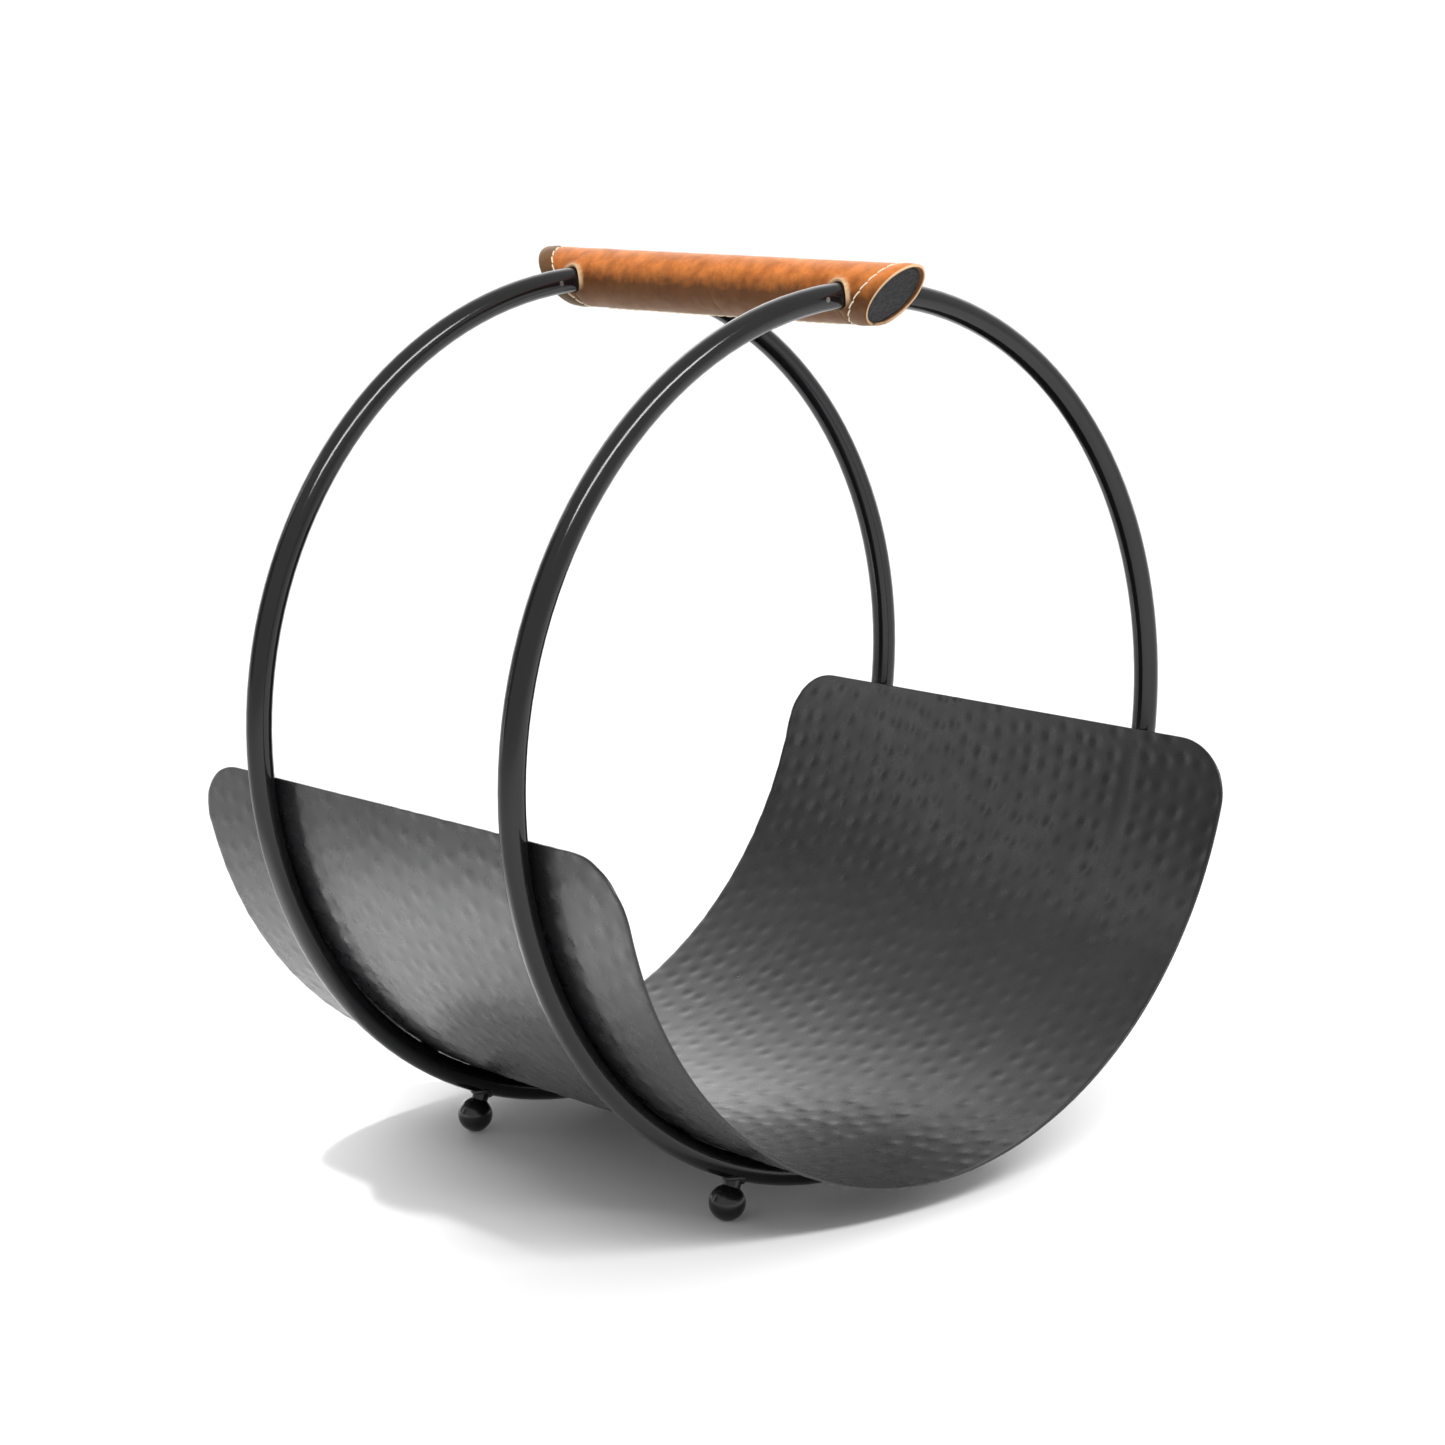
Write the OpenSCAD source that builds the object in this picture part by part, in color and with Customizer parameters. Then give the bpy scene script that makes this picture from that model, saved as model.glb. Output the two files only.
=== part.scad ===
// Firewood log rack: two round tube hoops, a sheet cradle welded inside them,
// four ball feet and a leather wrapped carrying handle that joins the hoops.
//
// Millimetres. The origin is on the floor, midway between the four feet.
// X runs across the hoops, Y runs along the cradle and the handle, Z is up.
// Front is -Y and left is -X.

/* [Hoops] */
// Radius of each hoop, to the middle of its tube
hoop_r = 203; // [195:1:215]
// Outside diameter of the hoop tube
tube_d = 12; // [11:0.5:13]
// Wall thickness of the hoop tube
tube_wall = 1.2; // [1:0.1:1.6]
// Distance between the hoops, middle to middle
hoop_spacing = 184; // [176:1:190]

/* [Cradle] */
// Length of the cradle sheet, along the handle
cradle_length = 305; // [280:1:340]
// Thickness of the cradle sheet
sheet_t = 1.2; // [1:0.1:2]
// Drop from the middle of the hoops to the cradle's top edges
rim_drop = 19.5; // [5:0.5:60]
// Radius of the cradle's four rounded corners
corner_r = 30; // [10:1:40]

/* [Handle] */
// Outside diameter of the leather sleeve
grip_d = 28.5; // [27:0.5:32]
// Thickness of the leather
leather_t = 1.5; // [1.2:0.1:2]
// Length of the sleeve, along its middle line
grip_length = 228; // [226:1:250]
// Slant of the sleeve's ends, in degrees from a square cut
end_slant = 41; // [0:1:42]
// Diameter of the steel rod between the hoops
core_d = 10; // [8:0.5:11]

/* [Feet] */
// Diameter of each ball
ball_d = 17; // [15:0.5:20]
// Gap between the hoop tube and the ball, bridged by the stud
ball_gap = 2; // [1.5:0.5:4]
// Angle from the lowest point of the hoop to each foot
foot_angle = 21.3; // [18:0.1:30]
// Diameter of the stud that carries the ball
stud_d = 8; // [6:0.5:9]

/* [Stitching] */
// Diameter of the sewing thread
thread_d = 0.9; // [0.6:0.1:1.2]
// Distance from one stitch to the next along a row, on the sleeve's sides
stitch_pitch = 6; // [4:0.5:8]
// Distance from the sleeve's cut end to the row of stitches
stitch_inset = 10.5; // [8:0.5:11]

/* [Hidden] */
$fn = 96;
hoop_fn = 360;

FRONT = -1;
REAR = 1;
LEFT = -1;
RIGHT = 1;

// Hoops
tube_r = tube_d / 2;
hoop_y = hoop_spacing / 2;
butt_gap = 0.5;

// Splice inside each hoop's top, where the bent tube's two ends meet
splice_clearance = 0.1;
splice_r = tube_r - tube_wall - splice_clearance;
splice_reach = 34;
pin_d = 2.4;
pin_x = 26;
pin_proud = 0.15;

// Feet, and the height of the hoops' middle above the floor
ball_r = ball_d / 2;
seat_depth = 0.25;
foot_r = hoop_r + tube_r + ball_gap + ball_r;
hoop_z = foot_r * cos(foot_angle) + ball_r - seat_depth;
socket_depth = 5.5;
foot_bead_r = 1.2;

// Cradle: it rests against the inside of both tubes
cradle_gap = 0.15;
cradle_r = hoop_r - tube_r - cradle_gap;
weld_angles = [-64, -32, 0, 32, 64];
weld_length = 12;
weld_bead_r = 2.6;

// Handle
grip_r = grip_d / 2;
grip_z = hoop_z + hoop_r;
padding_d = grip_d - 2 * leather_t;
slant_run = tan(end_slant);
leather_clearance = 0.35;
slit_width = 1.6;
padding_clearance = 0.5;
padding_inset = 1.5;
core_bead_r = 1.8;
core_bead_room = 0.6;
seam_gap = 1.2;

// Stitching
stitch_share = 0.84;
seam_margin = 10;
seam_stitch_angle = 17;
seam_pitch = 6;

big = 3 * hoop_r;

// ---- Placing helpers ----

// Turns a shape made about the Z axis onto a hoop's own axis.
// Angle 0 is +X and angle 90 is straight up.
module at_hoop(end) {
    translate([0, end * hoop_y, hoop_z]) rotate([90, 0, 0]) children();
}

// Turns a hoop so that straight down (-Z) points out through a foot.
module at_foot(end, side) {
    translate([0, end * hoop_y, hoop_z])
        rotate([0, -side * foot_angle, 0])
            children();
}

// Puts a shape made about the Z axis on the handle's axis.
module at_grip() {
    translate([0, 0, grip_z]) rotate([90, 0, 0]) children();
}

// A solid ring of round bar that follows a hoop.
module hoop_bar(end, bar_r) {
    at_hoop(end) rotate_extrude($fn = hoop_fn) translate([hoop_r, 0]) circle(r = bar_r, $fn = 96);
}

// A round rod of diameter d from point p to point q.
module rod_between(p, q, d) {
    v = q - p;
    translate(p)
        rotate([0, acos(v.z / norm(v)), atan2(v.y, v.x)])
            cylinder(d = d, h = norm(v), $fn = 48);
}

// ---- Hoops ----

// The two cross pins of a hoop's splice, one each side of the handle.
module splice_pins(end) {
    pin_angle = asin(pin_x / hoop_r);
    at_hoop(end)
        for (side = [LEFT, RIGHT])
            rotate(90 - side * pin_angle)
                translate([hoop_r, 0, 0])
                    cylinder(d = pin_d, h = tube_d + 2 * pin_proud, center = true, $fn = 32);
}

module tube_section() {
    difference() {
        circle(r = tube_r, $fn = 96);
        circle(r = tube_r - tube_wall, $fn = 96);
    }
}

// One tube bent into a ring. Its ends meet on the splice, inside the handle.
module hoop(end) {
    gap_angle = butt_gap / hoop_r * 180 / PI;
    color("#1b1b1d")
        difference() {
            at_hoop(end)
                rotate(90 + gap_angle / 2)
                    rotate_extrude(angle = 360 - gap_angle, $fn = hoop_fn)
                        translate([hoop_r, 0])
                            tube_section();
            splice_pins(end);
        }
}

// Solid rod inside the tube that joins its two ends.
module splice_rod(end) {
    reach_angle = splice_reach / hoop_r * 180 / PI;
    color("#8d8f92")
        difference() {
            at_hoop(end)
                rotate(90 - reach_angle)
                    rotate_extrude(angle = 2 * reach_angle, $fn = hoop_fn)
                        translate([hoop_r, 0])
                            circle(r = splice_r, $fn = 96);
            splice_pins(end);
        }
}

module pins(end) {
    color("#5a5b5e") splice_pins(end);
}

// ---- Cradle ----

// The cradle seen along X: a plate with two rounded top corners.
module cradle_side_view() {
    straight = cradle_length - 2 * corner_r;
    below_corner = cradle_r - rim_drop - corner_r;
    translate([-straight / 2, -cradle_r])
        square([straight, cradle_r - rim_drop]);
    translate([-cradle_length / 2, -cradle_r - 1])
        square([cradle_length, below_corner + 1]);
    for (end = [FRONT, REAR])
        translate([end * straight / 2, -rim_drop - corner_r])
            circle(r = corner_r);
}

// Sheet rolled to a little less than half a cylinder.
module cradle_sheet() {
    color("#3b3c3e")
        translate([0, 0, hoop_z])
            intersection() {
                rotate([90, 0, 0])
                    rotate(180)
                        rotate_extrude(angle = 180, $fn = hoop_fn)
                            translate([cradle_r - sheet_t, -cradle_length / 2])
                                square([sheet_t, cradle_length]);
                rotate([90, 0, 90])
                    linear_extrude(height = 2 * hoop_r, center = true)
                        cradle_side_view();
            }
}

// Short fillet welds in the corner between a hoop and the sheet,
// all on the +Y side of the tube.
module cradle_welds(end) {
    bead_angle = weld_length / cradle_r * 180 / PI;
    // In the hoop's own frame +Y of the rack is -Z, so the bead lies below.
    color("#232325")
        at_hoop(end)
            for (a = weld_angles)
                rotate(270 + a - bead_angle / 2)
                    rotate_extrude(angle = bead_angle, $fn = hoop_fn)
                        difference() {
                            translate([cradle_r + weld_bead_r / 2, -tube_r + weld_bead_r / 2])
                                circle(r = weld_bead_r, $fn = 48);
                            translate([hoop_r, 0])
                                circle(r = tube_r);
                            translate([0, -2 * tube_d])
                                square([cradle_r, 4 * tube_d]);
                        }
}

// ---- Handle ----

// The handle's side view along X: longer at the top than at the bottom.
module grip_side_view(length) {
    half = length / 2;
    run = grip_d * slant_run;
    polygon([
        [-half - run, grip_d], [half + run, grip_d],
        [half - run, -grip_d], [-half + run, -grip_d]
    ]);
}

// A round bar of diameter d along the handle, with the slanted ends.
module grip_bar(d, length) {
    intersection() {
        at_grip() cylinder(d = d, h = 2 * grip_length, center = true);
        translate([0, 0, grip_z])
            rotate([90, 0, 90])
                linear_extrude(height = 2 * grip_d, center = true)
                    grip_side_view(length);
    }
}

// Steel rod that joins the hoops. Its ends are shaped to sit on the tubes.
module handle_core() {
    color("#6d6f72")
        difference() {
            at_grip() cylinder(d = core_d, h = hoop_spacing, center = true);
            hoop_bar(FRONT, tube_r);
            hoop_bar(REAR, tube_r);
        }
}

// Weld bead around one end of the core rod.
module core_weld(end) {
    bead_y = hoop_y - tube_r - core_bead_r / 2;
    color("#232325")
        difference() {
            translate([0, end * bead_y, 0])
                at_grip()
                    rotate_extrude()
                        translate([core_d / 2 + core_bead_r / 4, 0])
                            circle(r = core_bead_r, $fn = 48);
            at_grip() cylinder(d = core_d, h = hoop_spacing, center = true);
            hoop_bar(end, tube_r);
        }
}

// Dense foam roll under the leather. Its cut ends show, a little way in.
module handle_padding() {
    bead_room_r = core_d / 2 + 1.25 * core_bead_r + core_bead_room;
    bead_room_l = 2 * (tube_r + 2 * core_bead_r + core_bead_room);
    color("#2c2c2e")
        difference() {
            grip_bar(padding_d, grip_length - 2 * padding_inset);
            at_grip() cylinder(d = core_d, h = hoop_spacing, center = true);
            for (end = [FRONT, REAR]) {
                hoop_bar(end, tube_r + padding_clearance);
                translate([0, end * hoop_y, 0])
                    at_grip()
                        cylinder(r = bead_room_r, h = bead_room_l, center = true);
            }
        }
}

// Leather wrapped round the padding. Its long edges meet underneath, and a slit
// runs from them up to the hole for each tube, so that it goes on from above.
module leather_sleeve() {
    color("#b5672f")
        difference() {
            grip_bar(grip_d, grip_length);
            at_grip() cylinder(d = padding_d, h = 3 * grip_length, center = true);
            translate([-seam_gap / 2, -grip_length, grip_z - grip_d])
                cube([seam_gap, 2 * grip_length, grip_d]);
            for (end = [FRONT, REAR]) {
                hoop_bar(end, tube_r + leather_clearance);
                translate([-grip_d, end * hoop_y - slit_width / 2, grip_z - grip_d])
                    cube([2 * grip_d, slit_width, grip_d]);
            }
        }
}

// ---- Stitching ----

// A point on the sleeve's surface in the row of stitches near one end.
// Angle 0 is +X and angle 90 is the top of the sleeve.
function row_point(end, angle) = [
    grip_r * cos(angle),
    end * (grip_length / 2 - stitch_inset + slant_run * grip_r * sin(angle)),
    grip_z + grip_r * sin(angle)
];

// Everything inside the leather's outer face, cut away so that the thread lies on it.
module sleeve_outside() {
    at_grip() cylinder(d = grip_d, h = 3 * grip_length, center = true, $fn = hoop_fn);
}

// A row of stitches parallel to one cut end, broken at the seam underneath.
module end_stitching(end) {
    count = floor(2 * PI * grip_r / (stitch_pitch * cos(end_slant)));
    step = (360 - 2 * seam_margin) / count;
    color("#efe4cf")
        difference() {
            for (i = [0 : count - 1]) {
                a = 270 + seam_margin + (i + (1 - stitch_share) / 2) * step;
                rod_between(row_point(end, a), row_point(end, a + stitch_share * step), thread_d);
            }
            sleeve_outside();
        }
}

// Stitches across the seam underneath, between the hoops.
module seam_stitching() {
    reach = hoop_y - tube_d;
    count = floor(reach / seam_pitch);
    color("#efe4cf")
        difference() {
            for (i = [-count : count])
                translate([0, i * seam_pitch, 0])
                    at_grip()
                        rotate(270 - seam_stitch_angle / 2)
                            rotate_extrude(angle = seam_stitch_angle, $fn = hoop_fn)
                                translate([grip_r, 0])
                                    circle(d = thread_d, $fn = 48);
            sleeve_outside();
        }
}

// ---- Feet ----

// The stud's full round bar, from inside the tube to inside the ball.
module stud_bar(end, side) {
    at_foot(end, side)
        translate([0, 0, -foot_r + ball_r - socket_depth])
            cylinder(d = stud_d, h = foot_r - hoop_r - ball_r + socket_depth);
}

module stud(end, side) {
    color("#1b1b1d")
        difference() {
            stud_bar(end, side);
            hoop_bar(end, tube_r);
        }
}

// Ball with a blind hole for the stud and a small flat to stand on.
module ball(end, side) {
    color("#1b1b1d")
        difference() {
            at_foot(end, side) translate([0, 0, -foot_r]) sphere(d = ball_d);
            stud_bar(end, side);
            translate([-big / 2, -big / 2, -ball_d])
                cube([big, big, ball_d]);
        }
}

// Weld beads round the two studs of a hoop.
module foot_welds(end) {
    color("#232325")
        difference() {
            for (side = [LEFT, RIGHT])
                at_foot(end, side)
                    translate([0, 0, -hoop_r - tube_r - foot_bead_r / 2])
                        rotate_extrude()
                            translate([stud_d / 2 + foot_bead_r / 2, 0])
                                circle(r = foot_bead_r, $fn = 48);
            for (side = [LEFT, RIGHT])
                stud_bar(end, side);
            hoop_bar(end, tube_r);
        }
}

// ---- The rack ----

hoop(FRONT);  // front_hoop
hoop(REAR);  // rear_hoop
splice_rod(FRONT);  // front_splice_rod
splice_rod(REAR);  // rear_splice_rod
pins(FRONT);  // front_splice_pins
pins(REAR);  // rear_splice_pins
cradle_sheet();
cradle_welds(FRONT);  // front_cradle_welds
cradle_welds(REAR);  // rear_cradle_welds
handle_core();
core_weld(FRONT);  // front_core_weld
core_weld(REAR);  // rear_core_weld
handle_padding();
leather_sleeve();
end_stitching(FRONT);  // front_end_stitching
end_stitching(REAR);  // rear_end_stitching
seam_stitching();
stud(FRONT, LEFT);  // front_left_stud
stud(FRONT, RIGHT);  // front_right_stud
stud(REAR, LEFT);  // rear_left_stud
stud(REAR, RIGHT);  // rear_right_stud
ball(FRONT, LEFT);  // front_left_ball
ball(FRONT, RIGHT);  // front_right_ball
ball(REAR, LEFT);  // rear_left_ball
ball(REAR, RIGHT);  // rear_right_ball
foot_welds(FRONT);  // front_foot_welds
foot_welds(REAR);  // rear_foot_welds
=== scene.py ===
"""The looks of a firewood log rack: two tubular steel hoops, a hammered sheet cradle between
them, a leather-wrapped handle on top and four ball feet. All lengths are in metres."""

import math

import bmesh
import bpy
import numpy as np
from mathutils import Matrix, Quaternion, Vector, noise
from mathutils.geometry import delaunay_2d_cdt


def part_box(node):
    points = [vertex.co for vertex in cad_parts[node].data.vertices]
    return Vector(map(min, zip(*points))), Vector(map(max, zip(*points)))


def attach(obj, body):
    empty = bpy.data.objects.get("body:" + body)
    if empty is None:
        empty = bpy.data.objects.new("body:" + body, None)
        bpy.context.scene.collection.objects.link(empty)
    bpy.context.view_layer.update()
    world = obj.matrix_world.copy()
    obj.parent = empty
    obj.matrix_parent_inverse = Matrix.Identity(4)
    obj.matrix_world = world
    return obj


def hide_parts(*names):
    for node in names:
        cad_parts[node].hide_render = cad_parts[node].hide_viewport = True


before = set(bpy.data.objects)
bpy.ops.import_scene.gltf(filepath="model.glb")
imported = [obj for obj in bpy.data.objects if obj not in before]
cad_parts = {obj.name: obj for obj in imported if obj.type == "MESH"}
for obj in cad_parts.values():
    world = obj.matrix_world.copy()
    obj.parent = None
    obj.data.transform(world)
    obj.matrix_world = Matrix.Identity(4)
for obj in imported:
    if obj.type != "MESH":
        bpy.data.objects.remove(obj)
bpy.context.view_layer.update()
random = np.random.default_rng(7)

MM = 0.001
FRONT, REAR = -1, 1
ENDS = {"front": FRONT, "rear": REAR}

# ---- Sizes, read from the frame ----

hoop_low, hoop_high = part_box("front_hoop")
TUBE_R = (hoop_high.y - hoop_low.y) / 2
HOOP_R = (hoop_high.x - hoop_low.x) / 2 - TUBE_R
HOOP_Y = -(hoop_high.y + hoop_low.y) / 2
HOOP_Z = hoop_high.z - HOOP_R - TUBE_R

sheet_low, sheet_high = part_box("cradle_sheet")
CRADLE_R = HOOP_Z - sheet_low.z
CRADLE_LENGTH = sheet_high.y - sheet_low.y
RIM_ANGLE = math.acos((HOOP_Z - sheet_high.z) / CRADLE_R)
SHEET_T = 1.2 * MM
CORNER_R = 30 * MM

sleeve_low, sleeve_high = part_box("leather_sleeve")
foam_low, foam_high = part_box("handle_padding")
GRIP_R = (sleeve_high.x - sleeve_low.x) / 2
GRIP_Z = (sleeve_high.z + sleeve_low.z) / 2
FOAM_R = (foam_high.x - foam_low.x) / 2
LEATHER_T = GRIP_R - FOAM_R
END_SLANT = math.tan(math.radians(41))
GRIP_HALF = sleeve_high.y - END_SLANT * GRIP_R
FOAM_HALF = foam_high.y - END_SLANT * FOAM_R

# ---- Mesh helpers ----


def make_piece(name, verts, faces, material, slot, replaces=()):
    """A smooth-shaded piece of the rack from points and faces, with its normals outwards."""
    mesh = bpy.data.meshes.new(name)
    mesh.from_pydata([tuple(v) for v in verts], [], [tuple(f) for f in faces])
    mesh.polygons.foreach_set("use_smooth", [True] * len(mesh.polygons))
    shell = bmesh.new()
    shell.from_mesh(mesh)
    bmesh.ops.recalc_face_normals(shell, faces=shell.faces)
    shell.to_mesh(mesh)
    shell.free()
    piece = bpy.data.objects.new(name, mesh)
    bpy.context.scene.collection.objects.link(piece)
    mesh.materials.append(material)
    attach(piece, "root")
    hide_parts(*replaces)
    return piece


def ring_faces(ring_count, ring_size, closed=False):
    """Quads between rings of points that follow each other. A closed body's last ring meets its first."""
    faces = []
    for i in range(ring_count if closed else ring_count - 1):
        here = i * ring_size
        after = (i + 1) % ring_count * ring_size
        for j in range(ring_size):
            k = (j + 1) % ring_size
            faces.append((here + j, here + k, after + k, after + j))
    return faces


def linked_rings(rings):
    """Quads between rings of point numbers, each ring the same length as the one before it."""
    faces = []
    for here, after in zip(rings[:-1], rings[1:]):
        faces.extend(np.stack([here, np.roll(here, -1), np.roll(after, -1), after], -1))
    return faces


def swept_tube(path, radii, sides):
    """A closed tube with a cap at each end along a path of points, as (points, faces)."""
    path = np.asarray(path, float)
    along = np.gradient(path, axis=0)
    along /= np.linalg.norm(along, axis=1)[:, None]
    across = np.cross(along[0], (0.0, 0.0, 1.0))
    if np.linalg.norm(across) < 0.2:
        across = np.cross(along[0], (1.0, 0.0, 0.0))
    points = []
    turn = np.linspace(0, 2 * math.pi, sides, endpoint=False)
    for centre, direction, radius in zip(path, along, radii):
        across = across - direction * (across @ direction)
        across /= np.linalg.norm(across)
        other = np.cross(direction, across)
        ring = np.outer(np.cos(turn), across) + np.outer(np.sin(turn), other)
        points.extend(centre + radius * ring)
    faces = ring_faces(len(path), sides)
    faces.append(tuple(range(sides)))
    last = (len(path) - 1) * sides
    faces.append(tuple(last + j for j in reversed(range(sides))))
    return points, faces


def joined(parts):
    """Several (points, faces) as one, with the faces' numbers moved on."""
    points, faces = [], []
    for part_points, part_faces in parts:
        faces.extend(tuple(i + len(points) for i in face) for face in part_faces)
        points.extend(part_points)
    return points, faces


def smooth_noise(points, size, seed):
    """Gentle noise from about -1 to 1 at each point, with features about this size."""
    move = Vector((seed * 17.3, seed * 5.1, seed * 9.7))
    return np.array([noise.noise(Vector(p) / size + move) for p in points])


def smoothstep(x):
    """A smooth rise from 0 to 1 as x goes from 0 to 1."""
    x = np.clip(x, 0, 1)
    return x * x * (3 - 2 * x)


# ---- Material helpers ----


def add(tree, kind, inputs=None, **settings):
    """Adds a shader node, sets it, and gives its inputs a value or a link."""
    node = tree.nodes.new(kind)
    for name, value in settings.items():
        setattr(node, name, value)
    for name, value in (inputs or {}).items():
        if isinstance(value, bpy.types.NodeSocket):
            tree.links.new(value, node.inputs[name])
        else:
            node.inputs[name].default_value = value
    return node


def new_material(name, **values):
    """A material with a Principled shader, these values on it, and the piece's own coordinates."""
    material = bpy.data.materials.new(name)
    material.use_nodes = True
    tree = material.node_tree
    shader = tree.nodes["Principled BSDF"]
    for socket, value in values.items():
        shader.inputs[socket.replace("_", " ")].default_value = value
    place = tree.nodes.new("ShaderNodeTexCoord").outputs["Object"]
    return material, tree, shader, place


def grain(tree, place, size, detail=3.0, rough=0.55):
    """Noise from 0 to 1 with features about this size."""
    inputs = {"Vector": place, "Scale": 1 / size, "Detail": detail, "Roughness": rough}
    return add(tree, "ShaderNodeTexNoise", inputs).outputs["Fac"]


def cells(tree, place, size, feature="F1"):
    """Distance pattern of irregular cells about this size."""
    inputs = {"Vector": place, "Scale": 1 / size}
    return add(tree, "ShaderNodeTexVoronoi", inputs, feature=feature).outputs["Distance"]


def ranged(tree, value, from_low, from_high, to_low, to_high):
    """The value moved from one range to another, and kept inside it."""
    inputs = {
        "Value": value,
        "From Min": from_low,
        "From Max": from_high,
        "To Min": to_low,
        "To Max": to_high,
    }
    return add(tree, "ShaderNodeMapRange", inputs).outputs["Result"]


def calculated(tree, operation, first, second):
    """Two values added, multiplied and so on."""
    node = add(tree, "ShaderNodeMath", {0: first, 1: second}, operation=operation)
    return node.outputs[0]


def mixed(tree, share, first, second):
    """Goes from the first colour to the second as share goes from 0 to 1."""
    node = add(tree, "ShaderNodeMix", {"Factor": share}, data_type="RGBA")
    colour_inputs = [s for s in node.inputs if s.type == "RGBA"]
    for socket, colour in zip(colour_inputs, (first, second)):
        if isinstance(colour, bpy.types.NodeSocket):
            tree.links.new(colour, socket)
        else:
            socket.default_value = (*colour, 1)
    return next(s for s in node.outputs if s.type == "RGBA")


def bumped(tree, height, distance, strength=1.0, under=None):
    """A normal from a height that goes from 0 to 1 and stands this far proud."""
    inputs = {"Height": height, "Distance": distance, "Strength": strength}
    if under is not None:
        inputs["Normal"] = under
    return add(tree, "ShaderNodeBump", inputs).outputs["Normal"]


def finish_material(tree, shader, colour, roughness, normal):
    """Gives the shader its colour, its roughness and its surface relief."""
    tree.links.new(colour, shader.inputs["Base Color"])
    tree.links.new(roughness, shader.inputs["Roughness"])
    tree.links.new(normal, shader.inputs["Normal"])


# ---- Materials ----


def black_coat(name, dark, light, rough_low, rough_high, peel=0.8 * MM, shine=0.5):
    """Baked-on black paint: faint orange peel, uneven gloss and a little dust."""
    material, tree, shader, place = new_material(name, Specular_IOR_Level=shine)
    cloudy = grain(tree, place, 45 * MM)
    colour = mixed(tree, ranged(tree, cloudy, 0.35, 0.65, 0, 1), dark, light)
    dust = ranged(tree, grain(tree, place, 1.1 * MM, 2.0), 0.70, 0.78, 0, 0.35)
    colour = mixed(tree, dust, colour, (0.05, 0.05, 0.05))
    patchy = grain(tree, place, 14 * MM, 4.0)
    roughness = ranged(tree, patchy, 0.3, 0.7, rough_low, rough_high)
    skin = bumped(tree, grain(tree, place, peel, 2.0), 0.012 * MM)
    finish_material(tree, shader, colour, roughness, skin)
    return material


def brushed_steel(name, colour_low, colour_high):
    """Bare steel with fine turning marks."""
    material, tree, shader, place = new_material(name, Metallic=1.0)
    stretch = add(tree, "ShaderNodeMapping", {"Vector": place, "Scale": (1, 0.05, 1)})
    marks = grain(tree, stretch.outputs["Vector"], 0.5 * MM, 3.0)
    colour = mixed(tree, marks, colour_low, colour_high)
    roughness = ranged(tree, marks, 0.3, 0.7, 0.28, 0.45)
    finish_material(tree, shader, colour, roughness, bumped(tree, marks, 0.01 * MM))
    return material


TAN = ((0.40, 0.108, 0.016), (0.69, 0.215, 0.044))
# Painted shade: the colour of the handle's lower half.
SHADED_BROWN = ((0.045, 0.016, 0.004), (0.105, 0.042, 0.013))
# Painted light: the lighter brown at the very bottom, standing in for light bounced up from the floor.
FLOOR_BOUNCE_BROWN = (0.21, 0.125, 0.075)
PORE_BROWN = (0.07, 0.024, 0.008)
# Painted shade: the olive of the strip beyond the rear stitches.
SHADED_END_OLIVE = ((0.036, 0.024, 0.010), (0.088, 0.060, 0.027))
FLESH_BROWN = ((0.10, 0.045, 0.020), (0.22, 0.11, 0.055))
RAW_EDGE_PALE = ((0.46, 0.28, 0.15), (0.74, 0.54, 0.34))


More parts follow.
